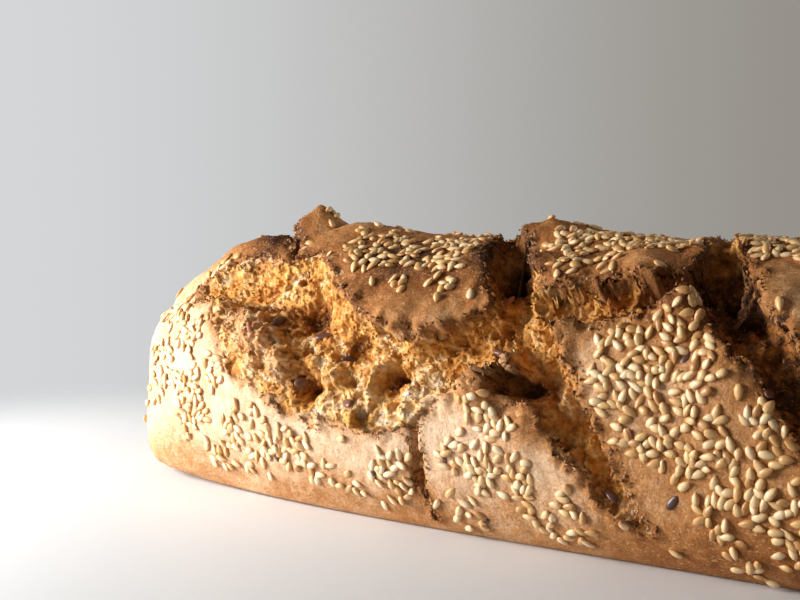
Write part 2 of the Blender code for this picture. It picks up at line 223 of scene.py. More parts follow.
def tears(points, x, w, hollowDepth=1.0, finest=None, wall=tearing["wall"]):
    # for each place: depth torn away, share torn, distance outside the torn edge, which way
    # the tear lies; finest are the sunk places, where the finest raggedness is read
    size, share = tearing["raggedSize"], tearing["raggedShare"]
    fine = size / tearing["raggedFine"]
    x = x + tearing["ragged"] * layered(points, [(1, size, 1), (share, fine, 2)])
    w = w + tearing["ragged"] * layered(points, [(1, size, 3), (share, fine, 4)])
    if finest is not None:
        for number, (height, grainSize) in enumerate(tearing["finest"]):
            x = x + height * noise(finest, grainSize, 31 + 2 * number)
            w = w + height * noise(finest, grainSize, 32 + 2 * number)
    deepest = np.zeros_like(x)
    inside = np.full_like(x, -1.0)
    edge = np.full_like(x, 99.0)    # further out than any form at a torn edge reaches
    toward = np.zeros((len(x), 2))
    for route in routes:
        for start, end in zip(route[:-1], route[1:]):
            run = end[:2] - start[:2]
            t = np.clip(((x - start[0]) * run[0] + (w - start[1]) * run[1]) / (run @ run), 0, 1)
            awayX = x - start[0] - t * run[0]
            awayW = w - start[1] - t * run[1]
            across = np.hypot(awayX, awayW)
            halfWidth = start[2] + t * (end[2] - start[2])
            depth = start[3] + t * (end[3] - start[3])
            share = 1 - across / halfWidth
            deepest = np.maximum(deepest, depth * smooth(0, wall, share))
            inside = np.maximum(inside, share)
            nearer = across - halfWidth < edge
            edge = np.where(nearer, across - halfWidth, edge)
            way = -np.stack([awayX, awayW], axis=-1) / np.maximum(across, 0.01)[:, None]
            toward = np.where(nearer[:, None], way, toward)
    torn = smooth(0, tearing["wall"] / 2, inside)
    for placeX, placeW, radius, extra in tearing["hollows"]:
        away = np.hypot(x - placeX, w - placeW) / radius
        deepest = deepest + torn * extra * (hollowDepth if extra > 0 else 1) * np.exp(-(away ** 2))
    return deepest, torn, edge, toward


def curledEdges(x, w):
    # highest of the pointed curls at each place, each exp(-away^curlPower)
    height = np.zeros_like(x)
    for placeX, placeW, rise, radius in tearing["curls"]:
        away = np.hypot(x - placeX, w - placeW) / radius
        height = np.maximum(height, rise * np.exp(-(away ** tearing["curlPower"])))
    return height


def swell(points, x, w):
    # slow unevenness of the whole crust: noise, and round rises and falls of exp(-away^2)
    height = layered(points, loaf["swells"])
    for placeX, placeW, rise, radius in tearing["rises"]:
        height = height + rise * np.exp(-((x - placeX) ** 2 + (w - placeW) ** 2) / radius ** 2)
    return height


crust = {
    "stepLeft": 0.72, "stepRight": 1.05, "leftTo": 48,
    "stepFront": 0.72, "stepBack": 1.6, "stepSole": 5, "frontFrom": -4, "soleFrom": 100,
    "endGap": 0.8, "tip": 0.3, "tipEdge": 20,
    "sink": 3.2, "diveWidth": 0.55,
    "overhang": 0.35, "overhangPerCurl": 0.18,
    "leanOutside": 4, "leanInside": 0.8, "leanFrom": (2, 10),
    # height, size and seed of the wrinkles all over, and of those near a torn edge
    "wrinkles": [(0.20, 3.4, 41), (0.22, 1.5, 42)],
    "rimWrinkles": [(0.9, 2.6, 43), (0.8, 1.35, 44)], "rimWidth": 5,
}


def crustForm(x, w):
    # plain loaf + swell + curls; past the torn edge it dives under the crumb, and just before
    # it the rim leans out over the tear
    points, out = plainLoaf(x, w)
    height = points[:, 2]
    sunk = points - out * tears(points, x, w)[0][:, None]
    depth, torn, edge, toward = tears(points, x, w, finest=sunk)
    curl = curledEdges(x, w)
    rim = 1 - smooth(0, crust["rimWidth"], edge)
    relief = swell(points, x, w) + (1 - torn) * curl - depth
    there = points + out * relief[:, None]
    wrinkle = layered(there, crust["wrinkles"])
    for rise, size, seed in crust["rimWrinkles"]:
        wrinkle = wrinkle + rise * rim * noise(there, size, seed)
    dive = smooth(0, crust["diveWidth"], -edge)
    relief = relief + wrinkle * (1 - dive) - crust["sink"] * dive
    relief = relief * smooth(0, loaf["evenBelow"], height)
    lean = (1 - smooth(0, crust["leanOutside"], edge)) * (1 - smooth(0, crust["leanInside"], -edge))
    overhang = crust["overhang"] + crust["overhangPerCurl"] * curl + 0.8 * noise(points, 3.4, 45)
    lean = lean * overhang
    lean = lean * smooth(*crust["leanFrom"], height)
    placed, outThere = plainLoaf(x + toward[:, 0] * lean, w + toward[:, 1] * lean)
    baked = placed + outThere * relief[:, None]
    baked[:, 2] = np.maximum(baked[:, 2], 0)
    return baked, edge


crumb = {
    "lumps": [(1.6, 8, 5), (1.2, 4, 6)],    # height, size and seed of each layer
    "ridge": 0.12, "ridgeSize": 2.4, "grain": 0.42, "grainSize": 1.1, "fineGrain": 0.24,
    "fineGrainSize": 0.6, "pore": 1.9, "poreSize": 5.6, "smallPore": 0.45, "smallPoreSize": 2.0,
    "under": 0.5, "openWidth": 1.1, "hollowDepth": 1.5, "wall": 0.62, "reach": 0.3,
    "soleGap": 1.2, "lowest": 1.5,
    "jitter": 0.38, "jitters": [(0.35, 3.0), (0.9, 1.3), (0.6, 0.65)],      # height and size
    "clouds": [(0.13, 7, 67), (0.10, 2.8, 68)],
    "stepLeft": 0.32, "stepRight": 0.46, "leftTo": 24, "stepFront": 0.38, "stepWalls": 0.22,
    "stepBack": 1.1, "stepHidden": 8.0,
    "pieces": (-150, -93, -36, 20, 85, 150),
    # x, w, height, radii of flaps and spurs that stand up from it
    "spurs": [
        (-61, 61, 3.8, 1.3, 3.6), (-64, 70, 2.4, 1.3, 2.6), (-72, 61, 2.6, 1.3, 3.6),
        (-80, 59, 2.2, 1.8, 2.6), (-22, 45, 2.6, 1.8, 2.8), (-17, 42, 3.0, 1.5, 2.6),
        (-88, 57, 2.2, 2.4, 2.0), (-97, 50, 2.0, 2.2, 2.4), (-67, 51, 2.6, 3.2, 1.3),
        (-35, 47, 2.0, 2.6, 1.6), (-12, 60, 2.4, 1.6, 2.6), (-5, 70, 2.0, 1.4, 2.4),
        (12, 34, 2.2, 2.4, 1.4), (30, 46, 2.4, 1.6, 2.6), (38, 50, 2.2, 1.6, 3.0),
        (-104, 30, 1.8, 2.2, 2.6), (-46, 2, 2.0, 4.0, 5.0), (-42, 11, 2.8, 3.0, 4.5),
        (-37, 31, 3.6, 3.0, 2.8), (-31, 37, 3.2, 2.2, 3.0), (12, 7, 2.0, 4.0, 5.0),
        (13, 15, 2.6, 3.0, 3.5), (17, 16, 3.2, 2.0, 3.0), (20, 40, 3.8, 2.4, 2.4),
        (25, 35, 3.4, 2.0, 2.8), (28, 50, 3.6, 2.2, 2.4), (35, 62, 3.2, 1.8, 3.0),
        (23, 45, -2.0, 2.0, 2.0), (31, 56, -2.2, 2.0, 2.4), (26, 41, 2.8, 1.6, 1.6),
        (-111, 47, 1.8, 3.0, 1.6), (-101, 53, 1.6, 2.0, 2.6), (-92, 59, 1.8, 2.6, 1.6),
    ],
}


def sunkCrumb(x, w):
    # the crumb without its finer forms: sunk by the tears, with lumps and spurs
    points, out = plainLoaf(x, w)
    sunk = points - out * tears(points, x, w)[0][:, None]
    depth, torn, edge, toward = tears(points, x, w, crumb["hollowDepth"], sunk, crumb["wall"])
    crags = layered(points, crumb["lumps"])
    for placeX, placeW, rise, radiusX, radiusW in crumb["spurs"]:
        crags = crags + rise * np.exp(-((x - placeX) / radiusX) ** 2 - ((w - placeW) / radiusW) ** 2)
    relief = swell(points, x, w) + (1 - torn) * curledEdges(x, w) + torn * crags - depth
    raised = smooth(0, loaf["evenBelow"], points[:, 2])
    relief = relief * raised - crumb["soleGap"] * (1 - raised)
    return points + out * relief[:, None], edge


def crumbForm(x, w):
    # sharp crests, grain and pits square to the sunk crumb, which lies just under the crust
    there, edge = sunkCrumb(x, w)
    reach = crumb["reach"]
    out = unit(np.cross(sunkCrumb(x, w + reach)[0] - there, sunkCrumb(x + reach, w)[0] - there))
    opened = smooth(0.0, crumb["openWidth"], -edge)
    crest = ridges(there, crumb["ridgeSize"], 51)
    grain = noise(there, crumb["grainSize"], 52)
    fineGrain = noise(there, crumb["fineGrainSize"], 53)
    pit = pores(there, crumb["poreSize"], 60)
    smallPit = pores(there, crumb["smallPoreSize"], 70)
    fine = crumb["ridge"] * crest + crumb["grain"] * grain + crumb["fineGrain"] * fineGrain
    fine = fine - crumb["pore"] * pit - crumb["smallPore"] * smallPit
    baked = there + out * (opened * fine - crumb["under"] * (1 - opened))[:, None]
    jitter = [
        layered(there, [(*layer, 54 + axis + 3 * number) for number, layer in enumerate(crumb["jitters"])])
        for axis in range(3)
    ]
    baked = baked + crumb["jitter"] * opened[:, None] * np.stack(jitter, axis=-1)
    baked[:, 2] = np.maximum(baked[:, 2], crumb["lowest"])
    toast = 0.40 + 0.09 * crest + 0.10 * grain + layered(there, crumb["clouds"])
    # the patches add painted shade in the hollows and crevices on top of the real toasting
    toast = toast + heaped(toastAndShadePatches, x, w) + 0.10 * smooth(1.5, 0, -edge)
    # how deep each place lies in a pit, for the painted shade that darkens the pits
    cavity = np.maximum(pit, 0.5 * smallPit)
    skin = 0.6 * smooth(1.8, 0.2, 0.9 * noise(there, 2.2, 69) - edge) + heaped(skinning, x, w)
    return baked, {"toast": toast, "cavity": cavity, "skin": np.clip(skin, 0, 1)}


# How toasted the crumb is at some places, and painted shade in its hollows and crevices: x, w, radii, amount
toastAndShadePatches = [
    (-106, 33, 12, 7, 0.13), (-87, 45, 8, 5, 0.40), (-104, 49, 9, 6, -0.06), (-95, 57, 8, 7, -0.04),
    (-81, 65, 4, 4, 0.45), (-56.5, 61, 3, 3.5, 0.85), (-86, 42, 4, 3, 0.35), (-68, 52, 4, 3, 0.25),
    (-66, 52, 12, 5, 0.04), (-58, 66, 18, 8, -0.20), (-44, 62, 10, 7, -0.10), (-34, 50, 8, 6, 0.16),
    (-34, 24, 8, 12, 0.50), (-20, 42, 10, 5, 0.20), (4, 35, 12, 6, 0.42), (16, 28, 8, 9, 0.65),
    (-8, 57, 7, 7, 0.02), (-20, 60, 6, 5, 0.4), (0, 70, 8, 7, 0.04), (2, 80, 7, 6, 0.10),
    (35, 54, 9, 12, 0.60), (27, 38, 8, 9, 0.45), (22, 34, 5, 6, 0.30), (48, 76, 10, 14, 0.40),
    (74, 34, 10, 20, 0.45), (118, 25, 12, 20, 0.35), (-47, 4, 10, 12, 0.5), (11, 4, 10, 12, 0.5),
    (67, 4, 14, 14, 0.4), (-108, 8, 8, 8, 0.3), (-66, -30, 16, 26, 0.35), (-2, -30, 16, 26, 0.35),
    (52, -30, 16, 26, 0.35), (106, -26, 16, 26, 0.35),
]

# Where the crumb has baked to a skin like the crust's: x, w, radii, amount
skinning = [
    (-108, 46, 9, 5, 0.85), (-98, 54, 8, 6, 0.85), (-88, 61, 6, 5, 0.6), (-34, 17, 7, 12, 0.75),
    (26, 26, 7, 12, 0.6), (-14, 60, 10, 5, 0.5), (68, 20, 10, 16, 0.5), (116, 20, 10, 16, 0.5),
    (-114, 14, 6, 12, 0.6),
]


def heaped(table, x, w):
    # the sum of the table's round patches, each amount times exp(-away^2)
    total = np.zeros_like(x)
    for placeX, placeW, radiusX, radiusW, amount in table:
        total += amount * np.exp(-((x - placeX) / radiusX) ** 2 - ((w - placeW) / radiusW) ** 2)
    return total


# How browned the crust is at some places, more or less than elsewhere: x, w, radii, amount
browning = [
    (-64, 24, 28, 15, 0.50), (-66, 42, 20, 8, 0.18), (-114, 13, 9, 10, 0.50), (-100, 8, 8, 8, -0.06),
    (-14, 14, 30, 18, 0.28), (26, 10, 18, 14, 0.10), (-30, 62, 5, 5, 0.30), (-17, 67, 8, 6, 0.36),
    (-6, 76, 6, 7, 0.14), (13, 39, 8, 5, 0.24), (-13, 47, 6, 7, 0.18), (16, 44, 10, 6, 0.14),
    (-4, 54, 8, 13, 0.04), (30, 80, 20, 14, 0.08), (-113, 50, 7, 5, 0.12), (-101, 62, 8, 5, 0.14),
    (-88, 70, 7, 4, 0.12), (32, 34, 10, 8, -0.04), (70, 20, 26, 24, 0.22), (118, 16, 24, 24, 0.20),
    (-60, -30, 40, 24, 0.16), (20, -30, 40, 24, 0.16), (60, 64, 44, 30, 0.14),
]


def browned(points, x, w, edge):
    # the table's patches, and browner on top, low down, at the torn rims and in clouds of noise;
    # darker in front on the right
    total = 0.20 + 0.30 * smooth(38, 66, points[:, 2]) + 0.24 * (1 - smooth(2, 22, points[:, 2]))
    total += heaped(browning, x, w) + 0.20 * smooth(-16, 8, x) * smooth(152, 118, x) * smooth(36, 54, w)
    return total + 0.20 * (1 - smooth(0, 4, edge)) + layered(points, [(0.10, 13, 81), (0.06, 5, 82)])


def stationsBetween(low, high, step, samples=8001):
    # places from low to high whose spacing at each is step(place)
    fine = np.linspace(low, high, samples)
    counted = np.concatenate([[0], np.cumsum(np.diff(fine) / step(0.5 * (fine[1:] + fine[:-1])))])
    count = max(int(round(counted[-1])), 2)
    return np.interp(np.linspace(0, counted[-1], count + 1), counted, fine)


def ringFaces(rows, cols):
    # faces of a tube of closed rings whose two ends close on a pole each, facing outwards
    row = np.arange(rows - 1)[:, None] * cols
    col = np.arange(cols)[None, :]
    beside = (col + 1) % cols
    quads = np.stack([row + col, row + beside, row + cols + beside, row + cols + col], axis=-1)
    first, last, final = rows * cols, rows * cols + 1, (rows - 1) * cols
    starts = np.stack([np.full(cols, first), beside[0], col[0]], axis=-1)
    ends = np.stack([final + col[0], final + beside[0], np.full(cols, last)], axis=-1)
    return quads.reshape(-1, 4), np.concatenate([starts, ends])


def linked(name, data):
    # an object of the scene made from the mesh, lamp or lens
    made = bpy.data.objects.new(name, data)
    bpy.context.scene.collection.objects.link(made)
    return made


def addPiece(name, points, faces, values, material):
    # one object at the origin; points in millimetres round the loaf's middle
    mesh = bpy.data.meshes.new(name)
    polygons = [face for part in faces for face in part.tolist()]
    mesh.from_pydata(((points - middle) * mm).tolist(), [], polygons)
    for label, numbers in values.items():
        mesh.attributes.new(label, "FLOAT", "POINT").data.foreach_set("value", numbers.astype(np.float32))
    mesh.shade_smooth()
    mesh.materials.append(material)
    piece = linked(name, mesh)
    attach(piece, "root")
    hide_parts("rye_loaf")
    triangles = sum(len(part) * (part.shape[1] - 2) for part in faces)
    print(f"{name}: {triangles} triangles")


class Wire:
    # one socket of a material's nodes; arithmetic on it adds Math nodes
    def __init__(self, tree, socket=None):
        self.tree = tree
        self.socket = socket

    def node(self, kind, settings=None, sockets=None, output=0):
        # settings first, such as a Math node's operation or a ramp's stops, then the sockets
        made = self.tree.nodes.new(kind)
        for name, value in (settings or {}).items():
            if name == "stops":
                ramp = made.color_ramp
                while len(ramp.elements) < len(value):
                    ramp.elements.new(1)
                for element, (place, colour) in zip(ramp.elements, value):
                    element.position = place
                    element.color = (*colour, 1)
            else:
                setattr(made, name, value)
        for name, value in (sockets or {}).items():
            if isinstance(value, Wire):
                self.tree.links.new(value.socket, made.inputs[name])
            else:
                made.inputs[name].default_value = value
        return Wire(self.tree, made.outputs[output])

    def maths(self, operation, a, b):
        return self.node("ShaderNodeMath", {"operation": operation}, {0: a, 1: b})

    def between(self, low, high):
        # 0 below low, 1 above high, smooth between
        sockets = {"Value": self, "From Min": low, "From Max": high}
        return self.node("ShaderNodeMapRange", {"interpolation_type": "SMOOTHSTEP"}, sockets)

    def attribute(self, label):
        return self.node("ShaderNodeAttribute", {"attribute_name": label}, output="Fac")

    def place(self):
        return self.node("ShaderNodeTexCoord", output="Object")

    def speckle(self, size, detail=2.0, roughness=0.5):
        # noise from 0 to 1 with patches of the given size in millimetres
        return self.node("ShaderNodeTexNoise", None, {
            "Vector": self.place(), "Scale": 1 / (size * mm), "Detail": detail, "Roughness": roughness,
        }, output="Fac")

    def ramp(self, stops):
        return self.node("ShaderNodeValToRGB", {"stops": stops}, {"Fac": self})

    def mixed(self, factor, a, b):
        return self.node("ShaderNodeMix", {"data_type": "RGBA"}, {0: factor, 6: a, 7: b}, output=2)

    def bump(self, height, distance, strength=1.0, under=None):
        sockets = {"Height": height, "Distance": distance * mm, "Strength": strength}
        if under:
            sockets["Normal"] = under
        return self.node("ShaderNodeBump", None, sockets, output="Normal")


for word, operation in (("add", "ADD"), ("sub", "SUBTRACT"), ("mul", "MULTIPLY")):
    setattr(Wire, f"__{word}__", lambda wire, other, kind=operation: wire.maths(kind, wire, other))
    setattr(Wire, f"__r{word}__", lambda wire, other, kind=operation: wire.maths(kind, other, wire))


def newMaterial(name, roughness, specular):
    # a material, its shader and a wire to work its colours out with
    material = bpy.data.materials.new(name)
    material.use_nodes = True
    shader = material.node_tree.nodes["Principled BSDF"]
    shader.inputs["Roughness"].default_value = roughness
    shader.inputs["Specular IOR Level"].default_value = specular
    return material, shader, Wire(material.node_tree)


def feed(shader, **sockets):
    # joins each wire to the shader's input of that name
    for name, wire in sockets.items():
        label = {"colour": "Base Color", "roughness": "Roughness", "normal": "Normal"}[name]
        wire.tree.links.new(wire.socket, shader.inputs[label])


def crustMaterial():
    # pale tan low down to dark brown on top and at the rims, with fine grain and light specks, partly flour
    # and partly painted glints
    material, shader, wire = newMaterial("baked crust", 0.62, 0.22)
    grain = wire.speckle(0.7, 6.0, 0.72)
    brown = wire.attribute("brown") + 0.30 * (wire.speckle(3.2, 3.0) - 0.5)
    brown = brown - 0.17 * (grain.between(0.38, 0.62) - 0.5)
    colour = brown.ramp([
        (0.00, (0.87, 0.66, 0.48)), (0.25, (0.72, 0.47, 0.285)), (0.48, (0.50, 0.230, 0.080)),
        (0.70, (0.34, 0.125, 0.028)), (0.90, (0.19, 0.062, 0.014)), (1.00, (0.075, 0.025, 0.007)),
    ])
    bran = wire.speckle(1.1, 2.0).between(0.60, 0.72)
    colour = wire.mixed(0.40 * bran, colour, (0.34, 0.125, 0.045, 1))
    # light orange specks: partly flour on the crust, partly painted glints of its grain
    specksAndGlints = wire.speckle(0.6, 1.5).between(0.56, 0.72) * wire.speckle(6.0, 1.0).between(0.30, 0.55)
    colour = wire.mixed(0.60 * specksAndGlints, colour, (0.76, 0.46, 0.22, 1))
    inside = 1 - wire.attribute("edge").between(-0.9, -0.1)
    colour = wire.mixed(inside, colour, (0.36, 0.155, 0.045, 1))
    coarse = wire.bump(wire.speckle(1.6, 4.0, 0.65), 0.40, 0.9)
    normal = wire.bump(grain, 0.38, 1.0, coarse)
    roughness = 0.56 + 0.30 * wire.speckle(1.6, 2.0)
    feed(shader, colour=colour, roughness=roughness, normal=normal)
    return material


def crumbMaterial():
    # cream in the hollows, straw to golden orange on the crests, brown where most toasted; painted shade in
    # crevices and pits
    material, shader, wire = newMaterial("torn crumb", 0.72, 0.3)
    toast = wire.attribute("toast") + 0.85 * (wire.speckle(0.9, 4.0, 0.7) - 0.5)
    toast = toast + 0.45 * (wire.speckle(2.8) - 0.5)
    colour = toast.ramp([
        (0.00, (0.92, 0.73, 0.51)), (0.20, (0.88, 0.575, 0.27)), (0.42, (0.79, 0.39, 0.085)),
        (0.64, (0.56, 0.215, 0.034)), (0.84, (0.26, 0.088, 0.017)), (1.00, (0.085, 0.030, 0.009)),
    ])
    baked = toast.ramp([
        (0.00, (0.78, 0.54, 0.35)), (0.35, (0.66, 0.375, 0.19)), (0.62, (0.42, 0.185, 0.062)),
        (0.85, (0.18, 0.070, 0.020)), (1.00, (0.075, 0.027, 0.009)),
    ])
    colour = wire.mixed(wire.attribute("skin"), colour, baked)
    rust = wire.speckle(1.7, 3.0, 0.6).between(0.56, 0.68)
    colour = wire.mixed(0.55 * rust, colour, (0.50, 0.165, 0.032, 1))
    # painted shade: the crumb is darkened in its pits, where shade would fall
    shade = wire.attribute("cavity").between(0.1, 0.9)
    colour = wire.mixed(0.42 * shade, colour, (0.24, 0.11, 0.03, 1))
    coarse = wire.bump(wire.speckle(0.9, 4.0, 0.7), 0.70, 1.0)
    normal = wire.bump(wire.speckle(0.3, 2.0, 0.6), 0.12, 0.8, coarse)
    feed(shader, colour=colour, normal=normal)
    return material


def sesameMaterial():
    # ivory to golden from seed to seed, golden round the rim and browner at the pointed tip
    material, shader, wire = newMaterial("toasted sesame", 0.36, 0.5)
    # the tint also carries painted shade: seeds darker towards the crest and on the right in front
    tint = wire.attribute("tint")
    colour = tint.ramp([
        (0.0, (0.92, 0.76, 0.52)), (0.40, (0.84, 0.61, 0.34)), (0.75, (0.68, 0.41, 0.16)),
        (1.0, (0.42, 0.20, 0.065)),
    ])
    rim = 1 - wire.attribute("crown").between(0.2, 0.95)
    colour = wire.mixed(0.70 * rim, colour, (0.60, 0.31, 0.10, 1))
    tip = wire.attribute("tip").between(0.72, 1.0)
    colour = wire.mixed(0.6 * tip, colour, (0.46, 0.24, 0.09, 1))
    colour = wire.mixed(0.25 * wire.speckle(0.8, 2.0).between(0.5, 0.75), colour, (0.60, 0.40, 0.20, 1))
    normal = wire.bump(wire.speckle(0.5, 2.0), 0.05, 0.6)
    shader.inputs["Subsurface Weight"].default_value = 0.15
    shader.inputs["Subsurface Radius"].default_value = (0.0012, 0.0008, 0.0004)
    shader.inputs["Subsurface Scale"].default_value = 1.0
    feed(shader, colour=colour, normal=normal)
    return material


def linseedMaterial():
    # dark to reddish brown from seed to seed, smooth and glossy
    material, shader, wire = newMaterial("linseed", 0.28, 0.4)
    colour = (wire.attribute("tint") + 0.3 * (wire.speckle(1.0, 2.0) - 0.5)).ramp([
        (0.0, (0.050, 0.022, 0.017)), (0.5, (0.105, 0.046, 0.032)), (1.0, (0.20, 0.092, 0.060)),
    ])
    normal = wire.bump(wire.speckle(0.7, 2.0), 0.06, 0.5)
    feed(shader, colour=colour, normal=normal)
    return material


def huskMaterial():
    # bran flakes and bits of husk, reddish to pale
    material, shader, wire = newMaterial("husk", 0.5, 0.4)
    colour = (wire.attribute("tint") + 0.25 * (wire.speckle(0.6, 2.0) - 0.5)).ramp([
        (0.0, (0.55, 0.32, 0.17)), (0.5, (0.40, 0.17, 0.075)), (1.0, (0.30, 0.085, 0.03)),
    ])
    feed(shader, colour=colour)
    return material


def boxMiddle(every=12, sides=160):
    # the middle of the baked loaf's box, over which the model stands
    x, w = np.meshgrid(planX[::every], np.linspace(sectionW[0], sectionW[-1], sides), indexing="ij")
    x, w = x.ravel(), w.ravel()
    points, out = plainLoaf(x, w)
    depth, torn, edge, toward = tears(points, x, w)
    relief = swell(points, x, w) + (1 - torn) * curledEdges(x, w) - depth
    relief = relief * smooth(0, loaf["evenBelow"], points[:, 2])
    baked = points + out * relief[:, None]
    low, high = baked.min(axis=0), baked.max(axis=0)
    return np.array([(low[0] + high[0]) / 2, (low[1] + high[1]) / 2, 0])


middle = boxMiddle()
print("middle", middle)


def capped(rings, tip=0):
    # the rings' points, then a pole in the middle of each end ring, tip beyond it along x
    poles = np.stack([rings[0].mean(axis=0), rings[-1].mean(axis=0)])
    poles[:, 0] += [-tip, tip]
    return np.concatenate([rings.reshape(-1, 3), poles])


def makeCrust():
    # grid of stations along the plan and round the section, closed by a pole at each end
    def stepAlong(s):
        left = np.interp(s, planAlong, planX) < crust["leftTo"]
        return np.where(left, crust["stepLeft"], crust["stepRight"])

    def stepAround(w):
        step = np.where(w > crust["frontFrom"], crust["stepFront"], crust["stepBack"])
        return np.where(np.abs(w) > crust["soleFrom"], crust["stepSole"], step)

    along = stationsBetween(crust["endGap"], planAlong[-1] - crust["endGap"], stepAlong)
    around = stationsBetween(sectionW[0], sectionW[-1], stepAround)[:-1]
    x, w = np.meshgrid(np.interp(along, planAlong, planX), around, indexing="ij")
    shape = x.shape
    x, w = x.ravel(), w.ravel()
    baked, edge = crustForm(x, w)
    brown = browned(plainLoaf(x, w)[0], x, w, edge)
    values = {
        "brown": np.append(brown, [brown[0], brown[-1]]),
        "edge": np.append(edge, [crust["tipEdge"], crust["tipEdge"]]),
    }
    points = capped(baked.reshape(*shape, 3), crust["tip"])
    addPiece("crust", points, ringFaces(*shape), values, crustMaterial())


def makeCrumb(material):
    # inner loaves that show where the crust has torn, end to end, finest where they show
    def stepAlong(x):
        return np.where(x < crumb["leftTo"], crumb["stepLeft"], crumb["stepRight"])

    def stepAround(w):
        step = np.where((w > 12) & (w < 92), crumb["stepFront"], crumb["stepBack"])
        step = np.where((w > 28) & (w < 62), crumb["stepWalls"], step)
        return np.where((w < -62) | (w > 96), crumb["stepHidden"], step)

    xs = stationsBetween(crumb["pieces"][0], crumb["pieces"][-1], stepAlong)
    around = stationsBetween(sectionW[0], sectionW[-1], stepAround)[:-1]
    x, w = np.meshgrid(xs, around, indexing="ij")
    baked, values = crumbForm(x.ravel(), w.ravel())
    baked = baked.reshape(*x.shape, 3)
    values = {label: numbers.reshape(x.shape) for label, numbers in values.items()}
    ends = np.searchsorted(xs, crumb["pieces"])
    for number, (first, last) in enumerate(zip(ends[:-1], np.minimum(ends[1:], len(xs) - 1))):
        rings = baked[first:last + 1]
        shares = {label: np.append(grid[first:last + 1].ravel(), [0, 0]) for label, grid in values.items()}
        name = f"crumb_{number + 1}"
        addPiece(name, capped(rings), ringFaces(*rings.shape[:2]), shares, material)


seeding = {
    "gap": 1.4, "tries": 60000, "seed": 5, "reach": 98, "edgeGap": 0.9,
    "size": (3.4, 2.0, 1.15), "sizeSpread": 0.07, "shape": (4, 7, 0.5, 0.78),
    "sunk": 0.16, "riseSpread": 0.12, "tilt": 0.16, "roll": 0.2, "slopeStep": 0.8,
    "tints": (1.5, 2.6), "browner": 0.35, "brownerFrom": 0.93, "toastAndShadeTint": 0.24,
    "clumps": [(1, 4.2, 92), (0.5, 9, 93)], "between": 0.10, "inClumps": 0.62, "strays": 0.008, "back": 0.75,
    # x, w, radii, density of the patches that show in front
    "patches": [
        (-8, 14, 26, 9, 1.0), (-30, 14, 8, 7, 0.8), (-14, 28, 8, 4, 0.6), (4, 56, 9, 8, 0.9),
        (14, 52, 10, 8, 1.0), (20, 66, 13, 9, 1.0), (30, 78, 12, 9, 0.9), (14, 42, 6, 3, 0.9),
        (30, 64, 10, 8, 1.0), (8, 67, 6, 6, 0.7), (38, 84, 10, 8, 0.8), (2, 48, 8, 4, 0.9),
        (13, 42, 5, 4, 1.0), (34, 92, 10, 5, 0.5), (10, 88, 8, 6, 0.3), (-98, 5, 7, 6, 0.8),
        (26, 12, 12, 9, 1.0), (40, 18, 10, 8, 0.8), (-62, 22, 13, 10, 0.95), (-53, 32, 8, 8, 0.95),
        (-73, 24, 8, 8, 0.8), (-50, 14, 12, 7, 0.9), (-84, 10, 10, 8, 0.6), (-97, 78, 11, 8, 0.95),
        (-86, 80, 9, 7, 0.8), (-76, 84, 8, 6, 0.6), (-111, 62, 6, 7, 0.8), (-119, 52, 6, 6, 0.8),
        (-128, 62, 7, 8, 0.7), (-122, 76, 7, 8, 0.7), (-134, 50, 6, 8, 0.6), (-142, 40, 7, 9, 0.7),
        (-138, 64, 6, 10, 0.6), (-110, 88, 8, 5, 0.5), (-128, 24, 8, 6, 0.6), (-29, 67, 6, 6, 1.0),
        (-22, 70, 5, 4, 0.8), (-26, 80, 9, 8, 0.85), (-36, 76, 6, 5, 0.8), (-18, 73, 5, 4, 0.8),
        (-16, 86, 8, 8, 0.7), (-36, 90, 6, 6, 0.4), (-54, 84, 6, 8, 0.8), (-64, 90, 8, 4, 0.5),
        (-10, 90, 7, 5, 0.6), (54, 26, 16, 12, 0.9), (62, 86, 18, 7, 0.8), (84, 34, 14, 12, 0.8),
        (100, 80, 14, 12, 0.7), (126, 52, 14, 14, 0.7), (90, 6, 12, 10, 0.8), (128, 16, 10, 12, 0.6),
        (60, 10, 10, 8, 0.6),
    ],
    # x, w, radii of places that stay bare
    "bare": [
        (-112, 50, 8, 7), (-100, 62, 9, 7), (-88, 70, 8, 5), (-14, 70, 7, 9), (-4, 79, 6, 8),
        (-14, 48, 6, 7), (-8, 57, 3, 9), (27, 32, 9, 8), (-98, 15, 11, 13), (-60, 46, 16, 5),
        (-113, 16, 9, 10), (-44, 12, 5, 10), (-22, 63, 6, 2.5), (-35, 16, 5.5, 13), (-94, 2, 5, 5),
    ],
}


def sesameDensity(points, x, w):
    # patches in front, broken up by noise; cloudy patches over the back and the far end
    def away(placeX, placeW, radiusX, radiusW):
        return ((x - placeX) / radiusX) ** 2 + ((w - placeW) / radiusW) ** 2

    total = np.zeros_like(x)
    for *place, amount in seeding["patches"]:
        total = np.maximum(total, amount * (1 - smooth(0.6, 1.6, away(*place))))
    for place in seeding["bare"]:
        total = total * smooth(0.6, 1.3, away(*place))
    cloudy = seeding["back"] * smooth(-0.25, 0.45, noise(points, 17, 91)) * smooth(98, 82, np.abs(w))
    total = np.where(w < -2, np.maximum(total, cloudy), total)
    clumps = smooth(-0.55, 0.25, layered(points, seeding["clumps"]) + 0.9 * (total - 0.75))
    total = total * (seeding["between"] + seeding["inClumps"] * clumps)
    return np.maximum(total, seeding["strays"] * smooth(98, 88, np.abs(w)))


def surfaceFrames(form, x, w, step):
    # point, outward direction and a direction along the surface, from differences
    alongX = form(x + step, w)[0] - form(x - step, w)[0]
    alongW = form(x, w + step)[0] - form(x, w - step)[0]
    out = unit(np.cross(alongW, alongX))
    side = unit(alongX)
    return form(x, w)[0], out, unit(side - out * np.sum(side * out, axis=1, keepdims=True))


